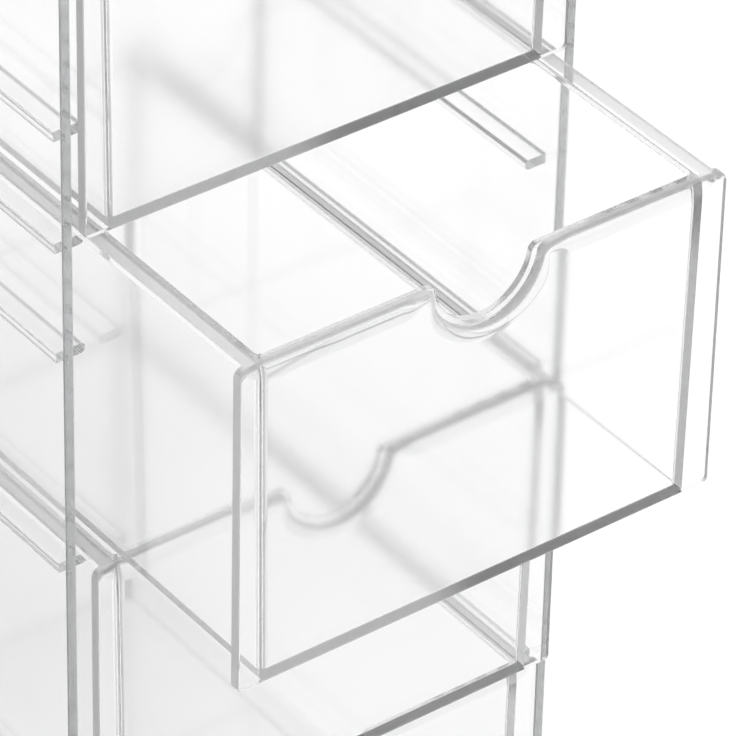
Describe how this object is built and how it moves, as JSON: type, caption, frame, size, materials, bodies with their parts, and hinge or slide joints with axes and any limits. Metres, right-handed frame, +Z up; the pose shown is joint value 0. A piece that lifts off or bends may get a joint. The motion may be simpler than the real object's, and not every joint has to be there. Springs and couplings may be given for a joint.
{
  "type": "drawer box",
  "caption": "Tall clear plastic drawer box: open-fronted cabinet with side rails and pull-out trays hung by side flanges, each front with a half-round finger notch.",
  "frame": {"origin": "centre of the cabinet's footprint, on its flat underside", "axes": "+Z up, +Y towards the back panel, so the drawers pull out towards -Y; +X to the right when the box is seen from the front"},
  "size_m": [0.166, 0.2746, 0.4216],
  "materials": {
    "panel": "clear, polished sheet",
    "rail": "clear, polished strip",
    "face_plate": "clear, polished, rounded top edge",
    "tray": "clear, moulded"
  },
  "bodies": {
    "cabinet": {"left_side_panel": "panel", "right_side_panel": "panel", "top_panel": "panel", "bottom_panel": "panel", "back_panel": "panel", "left_rail_1": "rail", "left_rail_2": "rail", "left_rail_3": "rail", "left_rail_4": "rail", "left_rail_5": "rail", "left_rail_6": "rail", "right_rail_1": "rail", "right_rail_2": "rail", "right_rail_3": "rail", "right_rail_4": "rail", "right_rail_5": "rail", "right_rail_6": "rail"},
    "drawer_1": {"drawer_1_face_plate": "face_plate", "drawer_1_tray": "tray"},
    "drawer_2": {"drawer_2_face_plate": "face_plate", "drawer_2_tray": "tray"},
    "drawer_3": {"drawer_3_face_plate": "face_plate", "drawer_3_tray": "tray"},
    "drawer_4": {"drawer_4_face_plate": "face_plate", "drawer_4_tray": "tray"}
  },
  "joints": [
    {"name": "drawer_1_slide", "type": "slide", "parent": "cabinet", "child": "drawer_1", "axis": [0, -1, 0], "range_m": [0, 0.15]},
    {"name": "drawer_2_slide", "type": "slide", "parent": "cabinet", "child": "drawer_2", "axis": [0, -1, 0], "range_m": [-0.0675, 0.0825]},
    {"name": "drawer_3_slide", "type": "slide", "parent": "cabinet", "child": "drawer_3", "axis": [0, -1, 0], "range_m": [-0.0042, 0.1458]},
    {"name": "drawer_4_slide", "type": "slide", "parent": "cabinet", "child": "drawer_4", "axis": [0, -1, 0], "range_m": [0, 0.15]}
  ]
}
